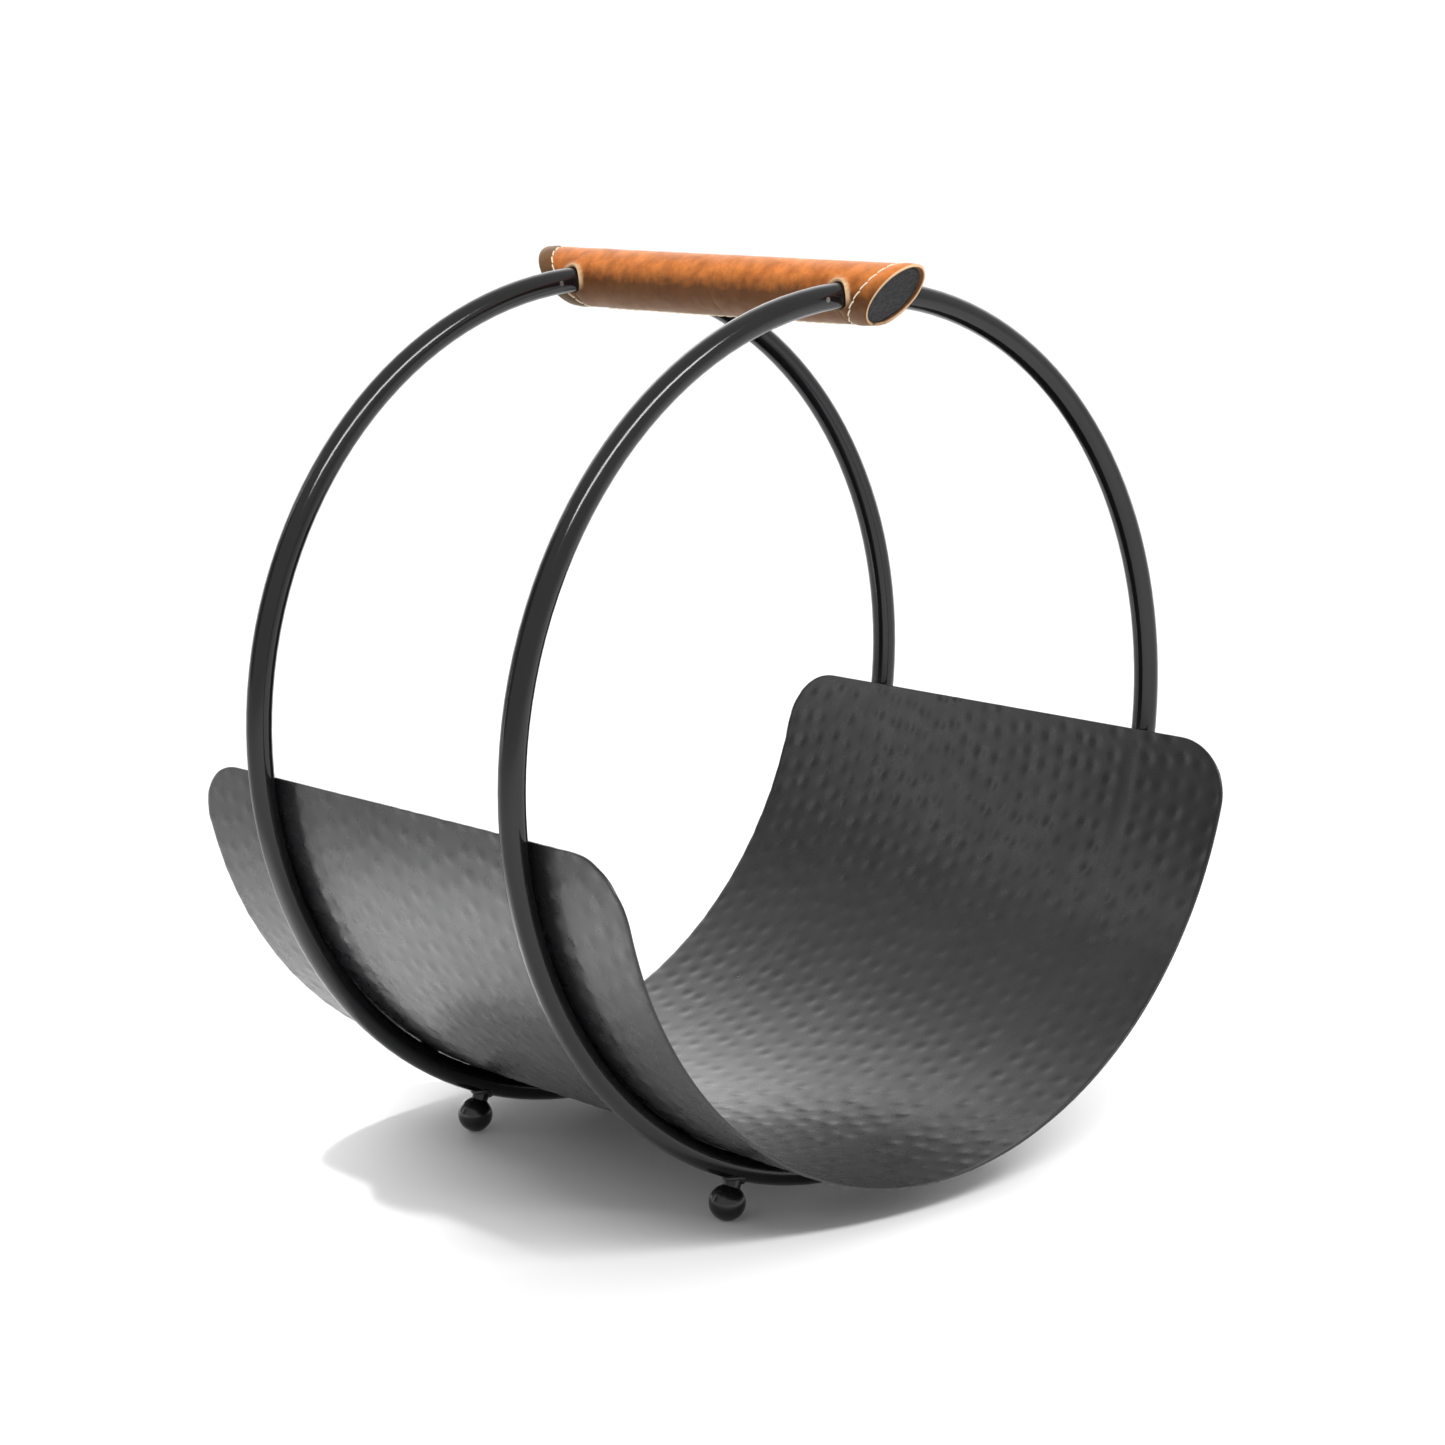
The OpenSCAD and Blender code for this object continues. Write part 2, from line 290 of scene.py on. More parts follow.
def tan_leather():
    """Waxed full-grain leather: mottled orange-tan, painted shade turning it dark brown low down, painted
    floor-bounce light at the very bottom, pale raw edges.
    The piece's attributes say where its raw edge, its flesh side and its painted-shade rear strip are."""
    material, tree, shader, place = new_material(
        "tan_leather_finish",
        Specular_IOR_Level=0.10,
        Sheen_Weight=0.18,
        Sheen_Roughness=0.45,
        Sheen_Tint=(1.0, 0.66, 0.40, 1),
    )
    mottle = grain(tree, place, 9 * MM, 5.0, 0.6)
    colour = mixed(tree, ranged(tree, mottle, 0.32, 0.68, 0, 1), *TAN)
    # Painted shade: below about the handle's middle height the colour turns dark brown. Its upper limit
    # wanders up and down with the patches.
    height = add(tree, "ShaderNodeSeparateXYZ", {"Vector": place}).outputs["Z"]
    patches = calculated(tree, "SUBTRACT", grain(tree, place, 7 * MM, 5.0, 0.65), 0.5)
    level = calculated(tree, "ADD", height, calculated(tree, "MULTIPLY", patches, 10 * MM))
    painted_shade = ranged(tree, level, GRIP_Z - 0.5 * MM, GRIP_Z + 9 * MM, 0.95, 0)
    brown = mixed(tree, mottle, *SHADED_BROWN)
    # Painted light: lower still, the colour lightens, standing in for light bounced up from the floor.
    painted_bounce = ranged(tree, level, GRIP_Z - 14 * MM, GRIP_Z - 5 * MM, 0.7, 0)
    brown = mixed(tree, painted_bounce, brown, FLOOR_BOUNCE_BROWN)
    colour = mixed(tree, painted_shade, colour, brown)
    pores = ranged(tree, cells(tree, place, 0.9 * MM), 0.0, 0.35, 0.35, 0)
    colour = mixed(tree, pores, colour, PORE_BROWN)
    # Painted shade: the strip beyond the rear row of stitches is darkened to olive.
    end_shade_share = add(tree, "ShaderNodeAttribute", attribute_name="dark_end").outputs["Fac"]
    colour = mixed(tree, end_shade_share, colour, mixed(tree, mottle, *SHADED_END_OLIVE))
    raw = add(tree, "ShaderNodeAttribute", attribute_name="raw_edge").outputs["Fac"]
    flesh_side = add(tree, "ShaderNodeAttribute", attribute_name="flesh_side").outputs["Fac"]
    fibres = grain(tree, place, 0.7 * MM, 4.0)
    colour = mixed(tree, flesh_side, colour, mixed(tree, fibres, *FLESH_BROWN))
    colour = mixed(tree, raw, colour, mixed(tree, fibres, *RAW_EDGE_PALE))
    worn = ranged(tree, grain(tree, place, 5 * MM, 3.0), 0.3, 0.7, 0.38, 0.54)
    roughness = calculated(tree, "ADD", worn, calculated(tree, "MULTIPLY", raw, 0.35))
    hide = bumped(tree, cells(tree, place, 1.3 * MM), 0.05 * MM)
    normal = bumped(tree, grain(tree, place, 0.45 * MM, 3.0), 0.03 * MM, under=hide)
    finish_material(tree, shader, colour, roughness, normal)
    return material


def cream_thread():
    """Waxed linen thread."""
    material, tree, shader, place = new_material("cream_thread_finish")
    fibres = grain(tree, place, 0.25 * MM, 4.0)
    colour = mixed(tree, fibres, (0.62, 0.50, 0.34), (0.93, 0.84, 0.68))
    roughness = ranged(tree, fibres, 0.2, 0.8, 0.55, 0.8)
    finish_material(tree, shader, colour, roughness, bumped(tree, fibres, 0.04 * MM))
    return material


def dark_foam():
    """Dense dark foam with a crumbly cut face."""
    material, tree, shader, place = new_material("dark_foam_finish")
    crumbs = cells(tree, place, 0.8 * MM)
    speckle = grain(tree, place, 1.6 * MM, 5.0, 0.7)
    speckled = ranged(tree, speckle, 0.35, 0.68, 0, 1)
    colour = mixed(tree, speckled, (0.008, 0.008, 0.009), (0.045, 0.045, 0.048))
    roughness = ranged(tree, speckle, 0.3, 0.7, 0.85, 1.0)
    coarse = bumped(tree, crumbs, 0.25 * MM)
    finish_material(tree, shader, colour, roughness, bumped(tree, speckle, 0.3 * MM, under=coarse))
    return material


def pale_floor():
    """Matt white studio floor, very slightly uneven."""
    material, tree, shader, place = new_material("pale_floor_finish")
    cloudy = grain(tree, place, 0.4, 3.0)
    colour = mixed(tree, cloudy, (0.89, 0.89, 0.89), (0.93, 0.93, 0.93))
    roughness = ranged(tree, cloudy, 0.3, 0.7, 0.6, 0.7)
    finish_material(tree, shader, colour, roughness, bumped(tree, grain(tree, place, 4 * MM), 0.05 * MM))
    return material


HOOP_COAT = black_coat("hoop_coat", (0.003, 0.003, 0.0035), (0.005, 0.005, 0.006), 0.09, 0.15, shine=0.4)
FOOT_COAT = black_coat("foot_coat", (0.004, 0.004, 0.004), (0.007, 0.007, 0.007), 0.12, 0.20)
CRADLE_COAT = black_coat("cradle_coat", (0.008, 0.008, 0.009), (0.013, 0.013, 0.014), 0.24, 0.32)
WELD_COAT = black_coat("weld_coat", (0.012, 0.012, 0.012), (0.022, 0.022, 0.022), 0.28, 0.42, 0.6 * MM)
BARE_STEEL = brushed_steel("bare_steel_finish", (0.30, 0.30, 0.31), (0.55, 0.55, 0.56))
PIN_STEEL = brushed_steel("pin_steel_finish", (0.20, 0.20, 0.21), (0.42, 0.42, 0.43))
LEATHER = tan_leather()
THREAD = cream_thread()
FOAM = dark_foam()

# ---- Cradle: a hammered sheet ----

MID_R = CRADLE_R - SHEET_T / 2
HALF_ARC = MID_R * RIM_ANGLE
HALF_LENGTH = CRADLE_LENGTH / 2
CORNER_STEPS = 21
SIDE_STEPS = 264
ACROSS_STEPS = 154
EDGE_ROUND = 0.35 * MM
HAMMER_RUN_GAP = 11 * MM
HAMMER_PITCH = (12.0 * MM, 14.2 * MM)
HAMMER_SCATTER = 0.7 * MM
HAMMER_R = 4.6 * MM
HAMMER_DEPTH = (0.20 * MM, 0.42 * MM)
PLAIN_HALF_WIDTH = 1.5 * MM
PLAIN_FADE = 4 * MM
BROAD_WAVE, BROAD_WAVE_HEIGHT = 60 * MM, 0.25 * MM
SMALL_WAVE, SMALL_WAVE_HEIGHT = 22 * MM, 0.08 * MM


def sheet_rows():
    """(arc position, corner angle) of each row of points, from one rim to the other. The corner
    angle is 0 along the straight sides and a quarter turn at the rim."""
    straight = 1 - CORNER_R / HALF_ARC
    quarter = np.linspace(math.pi / 2, 0, CORNER_STEPS + 1)[:-1]
    sides = np.linspace(-straight, straight, SIDE_STEPS + 1)
    share = np.concatenate([np.full(CORNER_STEPS, -straight), sides, np.full(CORNER_STEPS, straight)])
    angle = np.concatenate([quarter, np.zeros(SIDE_STEPS + 1), quarter[::-1]])
    return share * HALF_ARC, angle


def sheet_plan(inset):
    """Arc position and Y of every point of the sheet, laid flat, with its outline moved in by inset."""
    start, angle = sheet_rows()
    radius = CORNER_R - inset
    arc = start + np.sign(start) * radius * np.sin(angle)
    half_width = HALF_LENGTH - CORNER_R + radius * np.cos(angle)
    across = np.linspace(-1, 1, ACROSS_STEPS + 1)
    return np.repeat(arc[:, None], len(across), 1), half_width[:, None] * across[None, :]


def hammer_marks(arc, y):
    """How far each point is beaten outwards: runs of round marks, one run beside the next."""
    depth = np.zeros_like(arc)
    for run in np.arange(-HALF_LENGTH + HAMMER_RUN_GAP / 2, HALF_LENGTH, HAMMER_RUN_GAP):
        pitch = random.uniform(*HAMMER_PITCH)
        for place in np.arange(-HALF_ARC - random.uniform(0, pitch), HALF_ARC + pitch, pitch):
            mark_arc = place + random.normal(0, HAMMER_SCATTER)
            mark_y = run + random.normal(0, HAMMER_SCATTER)
            strength = random.uniform(*HAMMER_DEPTH)
            near = np.abs(arc[:, 0] - mark_arc) < HAMMER_R
            distance = np.hypot(arc[near] - mark_arc, y[near] - mark_y) / HAMMER_R
            depth[near] += strength * np.clip(1 - distance**2, 0, None) ** 2
    return depth


def sheet_point(arc, y, inwards):
    """Wraps flat positions round the cradle's curve, this far inside the middle of the sheet."""
    angle = arc / MID_R
    radius = MID_R - inwards
    return np.stack([radius * np.sin(angle), y, HOOP_Z - radius * np.cos(angle)], -1)


def grid_outline(grid):
    """The values round the border of a grid, in order."""
    return np.concatenate([grid[0, :-1], grid[:-1, -1], grid[-1, :0:-1], grid[:0:-1, 0]])


def build_cradle():
    """The sheet with its hammer marks, left plain and true where it lies against the hoops."""
    arc, y = sheet_plan(EDGE_ROUND)
    beaten = hammer_marks(arc, y)
    off_tube = smoothstep((np.abs(np.abs(y) - HOOP_Y) - PLAIN_HALF_WIDTH) / PLAIN_FADE)
    flat = np.stack([arc.ravel(), y.ravel(), np.zeros(arc.size)], -1)
    wavy = smooth_noise(flat, BROAD_WAVE, 1) * BROAD_WAVE_HEIGHT
    wavy += smooth_noise(flat, SMALL_WAVE, 2) * SMALL_WAVE_HEIGHT
    beaten = (beaten + wavy.reshape(arc.shape)) * off_tube
    half = SHEET_T / 2
    outer = sheet_point(arc, y, -half - beaten).reshape(-1, 3)
    inner = sheet_point(arc, y, half - beaten).reshape(-1, 3)
    rows, columns = arc.shape
    number = np.arange(rows * columns).reshape(rows, columns)
    corners = [number[:-1, :-1], number[1:, :-1], number[1:, 1:], number[:-1, 1:]]
    quads = np.stack(corners, -1).reshape(-1, 4)
    faces = [*quads, *(quads[:, ::-1] + rows * columns)]
    # The edge is rounded: rings of points lead from the outer face's border to the inner one's.
    border = grid_outline(number)
    border_beaten = grid_outline(beaten)
    rings = [border]
    points = [outer, inner]
    total = 2 * rows * columns
    for lift in (-1, 1):
        for turn in (45, 90)[:: -lift]:
            angle = math.radians(turn)
            ring_arc, ring_y = sheet_plan(EDGE_ROUND * (1 - math.sin(angle)))
            inwards = lift * (half - EDGE_ROUND * (1 - math.cos(angle)))
            ring = sheet_point(grid_outline(ring_arc), grid_outline(ring_y), inwards - border_beaten)
            points.append(ring)
            rings.append(total + np.arange(len(border)))
            total += len(border)
    rings.append(border + rows * columns)
    faces.extend(linked_rings(rings))
    return make_piece(
        "hammered_cradle", np.concatenate(points), faces, CRADLE_COAT, "cradle_black", ["cradle_sheet"]
    )


# ---- Leather sleeve ----

SLEEVE_MID_R = GRIP_R - LEATHER_T / 2
HOLE_CLEARANCE = 0.35 * MM
SLIT_HALF = 0.8 * MM
SEAM_HALF = 0.6 * MM
SEAM_CORNER_R = 4 * MM
LEATHER_STEP = 1.2 * MM
OUTLINE_STEP = 0.8 * MM
ROW_INSET = 10.5 * MM
LIP_HEIGHT = 2.0 * MM
LIP_WIDTH = 3.8 * MM
LIP_PALE_WIDTH = 1.5 * MM
SEAM_AROUND = math.pi * GRIP_R - SEAM_HALF
# How much the cut edge darkens in the lower half of each tube hole and slit, front and rear.
EDGE_LOW_DARKENING = {FRONT: 0.55, REAR: 0.8}
# Painted shade: how far the strip beyond the rear stitches is darkened.
END_SHADE_STRENGTH = 0.85
SWELL, SWELL_HEIGHT = 16 * MM, 0.13 * MM
PUCKER, PUCKER_HEIGHT = 6 * MM, 0.05 * MM
STITCH_PULL = 0.35 * MM
ROW_PULL_WIDTH = 1.1 * MM
SEAM_PULL_WIDTH = 2.2 * MM
STRIP_PUFF = 0.35 * MM
CREASE_Y, CREASE_SPREAD_Y = -8 * MM, 9 * MM
CREASE_AROUND, CREASE_SPREAD_AROUND = 30 * MM, 8 * MM
CREASE_PITCH = 8 * MM
CREASE_LEAN = 0.3
CREASE_DEPTH = 0.25 * MM
# Each ring of the cut edge: its share of the half thickness, how far it bulges, how pale it is.
CUT_EDGE_RINGS = (
    (0.85, 0.12 * MM, 0.7),
    (0.5, 0.2 * MM, 1),
    (-0.4, 0.2 * MM, 0.9),
    (-0.8, 0.12 * MM, 0),
)


def sleeve_end(around):
    """Distance along the handle from its middle to the sleeve's cut end, for a place round it.
    Places round the sleeve are measured along its outside from the top, positive towards +X."""
    return GRIP_HALF + END_SLANT * GRIP_R * np.cos(around / GRIP_R)


def tube_hole(turn):
    """A point on the edge of the hole for a tube, as (place round the sleeve, distance from the
    tube's middle along the handle). A turn of 0 is the top of the hole."""
    reach = TUBE_R + HOLE_CLEARANCE
    droop = GRIP_R**2 / (2 * HOOP_R)
    height = np.clip(reach * np.cos(turn) - droop, -GRIP_R, GRIP_R)
    return GRIP_R * np.arccos(height / GRIP_R), reach * np.sin(turn)


HOLE_TOP = float(tube_hole(0.0)[0])
HOLE_BOTTOM = float(tube_hole(math.pi)[0])
HOLE_MIDDLE = (HOLE_TOP + HOLE_BOTTOM) / 2
HOLE_HALF_HEIGHT = (HOLE_BOTTOM - HOLE_TOP) / 2


def resampled(points, step):
    """The same line of points, evenly spaced at about this step, with its last point left out."""
    points = np.asarray(points, float)
    lengths = np.linalg.norm(np.diff(points, axis=0), axis=1)
    along = np.concatenate([[0], np.cumsum(lengths)])
    places = np.linspace(0, along[-1], max(2, round(along[-1] / step) + 1))[:-1]
    return np.stack([np.interp(places, along, points[:, k]) for k in (0, 1)], -1)


def sleeve_side():
    """The +X long edge of the leather laid flat, from the front end's corner to the rear's,
    with a slit and a hole for each tube."""
    slit_turn = math.asin(SLIT_HALF / (TUBE_R + HOLE_CLEARANCE))
    turns = np.linspace(math.pi - slit_turn, -math.pi + slit_turn, 61)
    around, along = tube_hole(turns)
    hole = np.stack([around, -along], -1)
    corner_turns = np.linspace(0, math.pi / 2, 9)
    corner_y = sleeve_end(SEAM_AROUND) - SEAM_CORNER_R
    corner = np.stack(
        [
            SEAM_AROUND - SEAM_CORNER_R + SEAM_CORNER_R * np.sin(corner_turns),
            -corner_y - SEAM_CORNER_R * np.cos(corner_turns),
        ],
        -1,
    )
    lines = [corner]
    for end in (FRONT, REAR):
        middle = end * HOOP_Y
        lines.append([(SEAM_AROUND, middle - SLIT_HALF)])
        lines.append(hole + (0, middle))
        lines.append([(SEAM_AROUND, middle + SLIT_HALF)])
    lines.append(corner[::-1] * (1, -1))
    return np.concatenate(lines)


def sleeve_outline():
    """The whole outline of the leather laid flat, evenly spaced points in order."""
    side = sleeve_side()
    end_around = np.linspace(side[-1, 0], -side[-1, 0], 200)
    rear_end = np.stack([end_around, sleeve_end(end_around)], -1)
    corners = [side, rear_end, side[::-1] * (-1, 1), rear_end[::-1] * (1, -1)]
    stretches = []
    for part, following in zip(corners, corners[1:] + corners[:1]):
        stretches.append(resampled(np.concatenate([part, following[:1]]), OUTLINE_STEP))
    return np.concatenate(stretches)


def distance_to_line(points, line):
    """The distance from each point to a closed line of points."""
    starts, ends = line, np.roll(line, -1, axis=0)
    best = np.full(len(points), np.inf)
    for start, end in zip(starts, ends):
        direction = end - start
        length_squared = max(direction @ direction, 1e-18)
        share = np.clip((points - start) @ direction / length_squared, 0, 1)
        offset = points - start - share[:, None] * direction
        best = np.minimum(best, np.hypot(offset[:, 0], offset[:, 1]))
    return best


def hole_places(around, y):
    """For each of the four tube holes: the share of the way up or down it, the distance out from
    its edge, and which side of the hole is towards the front."""
    for end in (FRONT, REAR):
        for side in (-1, 1):
            rise = (around - side * HOLE_MIDDLE) / HOLE_HALF_HEIGHT
            across = (y - end * HOOP_Y) / (TUBE_R + HOLE_CLEARANCE)
            yield side * rise, (np.hypot(rise, across) - 1) * TUBE_R, across


def lip_paleness(around, y):
    """How much of the leather's pale inside shows on the turned-out lip round each tube hole."""
    paleness = np.zeros_like(around)
    for drop, from_edge, across in hole_places(around, y):
        width = LIP_PALE_WIDTH * (0.45 + 0.55 * smoothstep(0.3 - 0.8 * across))
        shown = smoothstep(1.3 - from_edge / width) * smoothstep(0.9 - 1.1 * drop)
        paleness = np.maximum(paleness, shown)
    return paleness


def edge_paleness(around, y):
    """How pale the cut edge is: darker in the lower half of each tube hole and slit."""
    paleness = np.ones_like(around)
    for end in (FRONT, REAR):
        at_hole = smoothstep(2.5 - np.abs(y - end * HOOP_Y) / (TUBE_R + HOLE_CLEARANCE))
        low = smoothstep((np.abs(around) - HOLE_MIDDLE) / (0.8 * HOLE_HALF_HEIGHT) + 0.2)
        paleness -= EDGE_LOW_DARKENING[end] * at_hole * low
    return paleness


def painted_end_shade(around, y):
    """Painted shade: the strip beyond the rear row of stitches, darkened."""
    return END_SHADE_STRENGTH * smoothstep((y - sleeve_end(around) + ROW_INSET) / (1.5 * MM) + 0.5)


def leather_lift(around, y):
    """How far the leather stands off its even round shape at a place on it."""
    flat = np.stack([around, y, np.zeros_like(around)], -1)
    lift = SWELL_HEIGHT * smooth_noise(flat, SWELL, 3) + PUCKER_HEIGHT * smooth_noise(flat, PUCKER, 4)
    # A lip turned out along each tube, highest over the top of the hole.
    for drop, from_edge, _ in hole_places(around, y):
        upper = smoothstep(0.75 - 0.5 * drop)
        lift += LIP_HEIGHT * (0.25 + 0.75 * upper) * np.clip(1 - from_edge / LIP_WIDTH, 0, 1) ** 2.2
    # The stitched row pulls the leather in, and the strip beyond it puffs up a little.
    from_row = sleeve_end(around) - ROW_INSET - np.abs(y)
    lift -= STITCH_PULL * np.exp(-((from_row / ROW_PULL_WIDTH) ** 2))
    strip = np.clip(-from_row / ROW_INSET, 0, 1)
    lift += STRIP_PUFF * np.sin(math.pi * strip) ** 2
    # The seam underneath pulls in too.
    from_seam = SEAM_AROUND - np.abs(around)
    lift -= STITCH_PULL * np.exp(-((from_seam / SEAM_PULL_WIDTH) ** 2))
    # A few soft creases low on both sides, near the middle.
    for side in (-1, 1):
        window = np.exp(-(((y - CREASE_Y) / CREASE_SPREAD_Y) ** 2))
        window = window * np.exp(-(((around - side * CREASE_AROUND) / CREASE_SPREAD_AROUND) ** 2))
        slanted = (y - CREASE_Y + CREASE_LEAN * (side * around - CREASE_AROUND)) / CREASE_PITCH
        lift -= CREASE_DEPTH * window * np.clip(np.cos(2 * math.pi * slanted), 0, 1) ** 4
    return lift


def on_sleeve(around, y, lift):
    """Wraps flat leather positions round the handle. Near a cut end the point slides along
    the handle as it goes inwards, so that the cut stays flat."""
    angle = around / GRIP_R
    radius = SLEEVE_MID_R + lift
    near_end = smoothstep(1 - (sleeve_end(around) - np.abs(y)) / (9 * MM))
    slide = np.sign(y) * END_SLANT * (radius - GRIP_R) * np.cos(angle) * near_end
    return np.stack([radius * np.sin(angle), y + slide, GRIP_Z + radius * np.cos(angle)], -1)


def surface_normals(points, triangles):
    """The mean direction of the triangles round each point."""
    a, b, c = (points[triangles[:, k]] for k in range(3))
    across = np.cross(b - a, c - a)
    normals = np.zeros_like(points)
    for k in range(3):
        np.add.at(normals, triangles[:, k], across)
    return normals / np.linalg.norm(normals, axis=1)[:, None]


def flat_leather():
    """The leather laid flat, as (points, triangles, numbers of the border's points in order)."""
    outline = sleeve_outline()
    around_steps = np.arange(-SEAM_AROUND, SEAM_AROUND, LEATHER_STEP)
    y_steps = np.arange(-sleeve_end(0.0), sleeve_end(0.0), LEATHER_STEP * math.sqrt(3) / 2)
    grid = np.array(
        [(a + (k % 2) * LEATHER_STEP / 2, y) for k, y in enumerate(y_steps) for a in around_steps]
    )
    grid = grid[np.abs(grid[:, 1]) < sleeve_end(grid[:, 0])]
    grid = grid[distance_to_line(grid, outline) > 0.6 * LEATHER_STEP]
    # The triangulation works in millimetres, as its tolerance is an absolute one.
    flat = np.concatenate([outline, grid]) / MM
    border_size = len(outline)
    found = delaunay_2d_cdt([Vector(p) for p in flat], [], [list(range(border_size))], 1, 1e-5)
    plan = np.array([tuple(p) for p in found[0]]) * MM
    triangles = np.array(found[2])
    old_of = [old[0] if old else -1 for old in found[3]]
    new_of = {old: new for new, old in enumerate(old_of) if old >= 0}
    border = np.array([new_of[k] for k in range(border_size)])
    used = np.unique(triangles)
    renumber = np.full(len(plan), -1)
    renumber[used] = np.arange(len(used))
    return plan[used], renumber[triangles], renumber[border]


def build_sleeve():
    """The flat leather wrapped round the roll and given its thickness and its cut edge."""
    plan, triangles, border = flat_leather()
    around, y = plan[:, 0], plan[:, 1]
    middle = on_sleeve(around, y, leather_lift(around, y))
    normals = surface_normals(middle, triangles)
    outward = np.stack([np.sin(around / GRIP_R), np.zeros_like(y), np.cos(around / GRIP_R)], -1)
    if (normals * outward).sum() < 0:
        normals = -normals
    half = LEATHER_T / 2
    count = len(middle)
    points = [middle + normals * half, middle - normals * half]
    faces = [*triangles, *(triangles[:, ::-1] + count)]
    raw = [lip_paleness(around, y), np.zeros(count)]
    flesh_side = [np.zeros(count), np.ones(count)]
    # Painted shade on the rear strip, on both faces.
    dark_end = [painted_end_shade(around, y), painted_end_shade(around, y)]
    # The cut edge, slightly rounded, from the outer face's border to the inner one's.
    edge = middle[border]
    edge_pale = edge_paleness(around[border], y[border])
    edge_normals = normals[border]
    along = np.roll(edge, -1, axis=0) - np.roll(edge, 1, axis=0)
    beyond = np.cross(along, edge_normals)
    beyond /= np.linalg.norm(beyond, axis=1)[:, None]
    # A few places on the edge show which way is out: away from the nearest triangle.
    some = slice(None, None, len(edge) // 7)
    centres = middle[triangles].mean(1)
    nearest = np.array([centres[np.argmin(((centres - p) ** 2).sum(1))] for p in edge[some]])
    if ((nearest - edge[some]) * beyond[some]).sum() > 0:
        beyond = -beyond
    rings = [border]
    total = 2 * count
    for level, reach, paleness in CUT_EDGE_RINGS:
        points.append(edge + edge_normals * half * level + beyond * reach)
        raw.append(paleness * edge_pale)
        dark_end.append(np.zeros(len(edge)))
        flesh_side.append(np.full(len(edge), float(level < 0)))
        rings.append(total + np.arange(len(edge)))
        total += len(edge)
    rings.append(border + count)
    faces.extend(linked_rings(rings))
    sleeve = make_piece(
        "leather_wrap", np.concatenate(points), faces, LEATHER, "tan_leather", ["leather_sleeve"]
    )
    for name, values in (("raw_edge", raw), ("flesh_side", flesh_side), ("dark_end", dark_end)):
        attribute = sleeve.data.attributes.new(name, "FLOAT", "POINT")
        attribute.data.foreach_set("value", np.concatenate(values).astype(np.float32))
    return sleeve


# ---- Foam roll ----

FOAM_SIDES = 96
CAP_RINGS = 12
BODY_RINGS = 60
FOAM_ROUND = 0.8 * MM
FOAM_GAP = 0.05 * MM
FOAM_TUBE_GAP = 0.5 * MM
FOAM_TUBE_TURN = 0.14
CRUMB, CRUMB_HEIGHT = 2.2 * MM, 0.35 * MM
FOAM_HOLLOW = 0.5 * MM
BEAD_ROOM_R = 7.85 * MM
BEAD_ROOM_HALF = 10.2 * MM
CORE_R = (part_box("handle_core")[1].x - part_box("handle_core")[0].x) / 2


def cut_away(piece, cutter):
    """Takes the cutter's space out of the piece for good, and removes the cutter."""
    cut = piece.modifiers.new("cut", "BOOLEAN")
    cut.operation = "DIFFERENCE"
    cut.solver = "EXACT"
    cut.object = cutter
    graph = bpy.context.evaluated_depsgraph_get()
    result = bpy.data.meshes.new_from_object(piece.evaluated_get(graph), depsgraph=graph)
    piece.modifiers.remove(cut)
    piece.data = result
    bpy.data.objects.remove(cutter)


def cutter_tube(path, radius):
    """A round tube along a path, for cut_away."""
    points, faces = swept_tube(path, [radius] * len(path), 48)
    mesh = bpy.data.meshes.new("cutter")
    mesh.from_pydata([tuple(p) for p in points], [], faces)
    cutter = bpy.data.objects.new("cutter", mesh)
    bpy.context.scene.collection.objects.link(cutter)
    return cutter


def build_foam():
    """A closed roll, from the middle of one cut end to the middle of the other."""
    radius = FOAM_R - FOAM_GAP
    turn = np.linspace(0, 2 * math.pi, FOAM_SIDES, endpoint=False)
    cap_radii = [radius * k / CAP_RINGS for k in range(1, CAP_RINGS)] + [radius - FOAM_ROUND]
    body_places = np.linspace(-FOAM_HALF + FOAM_ROUND, FOAM_HALF - FOAM_ROUND, BODY_RINGS)
    rings = [(cap_radius, -FOAM_HALF) for cap_radius in cap_radii]
    rings += [(radius, y) for y in body_places]
    rings += [(cap_radius, FOAM_HALF) for cap_radius in reversed(cap_radii)]
    points = []
    for ring_radius, y in rings:
        x, z = ring_radius * np.cos(turn), ring_radius * np.sin(turn)
        slanted = y + y / FOAM_HALF * END_SLANT * z
        ring = np.stack([x, slanted, z + GRIP_Z], -1)
        if abs(y) == FOAM_HALF:
            ring[:, 1] += smooth_noise(ring, CRUMB, 5) * CRUMB_HEIGHT
            ring[:, 1] -= math.copysign(FOAM_HOLLOW, y) * (1 - (ring_radius / radius) ** 2)
        points.extend(ring)
    faces = ring_faces(len(rings), FOAM_SIDES)
    last = (len(rings) - 1) * FOAM_SIDES
    faces.append(tuple(range(FOAM_SIDES)))
    faces.append(tuple(last + j for j in reversed(range(FOAM_SIDES))))
    foam = make_piece("foam_roll", points, faces, FOAM, "padding_foam", ["handle_padding"])
    turns = np.linspace(-FOAM_TUBE_TURN, FOAM_TUBE_TURN, 25)
    for end in (FRONT, REAR):
        arc = [(HOOP_R * math.sin(t), end * HOOP_Y, HOOP_Z + HOOP_R * math.cos(t)) for t in turns]
        cut_away(foam, cutter_tube(arc, TUBE_R + FOAM_TUBE_GAP))
        room = [(0, end * HOOP_Y - BEAD_ROOM_HALF, GRIP_Z), (0, end * HOOP_Y + BEAD_ROOM_HALF, GRIP_Z)]
        cut_away(foam, cutter_tube(room, BEAD_ROOM_R))
    core = [(0, -HOOP_Y, GRIP_Z), (0, HOOP_Y, GRIP_Z)]
    cut_away(foam, cutter_tube(core, CORE_R + FOAM_GAP))
    return foam


# ---- Stitching ----

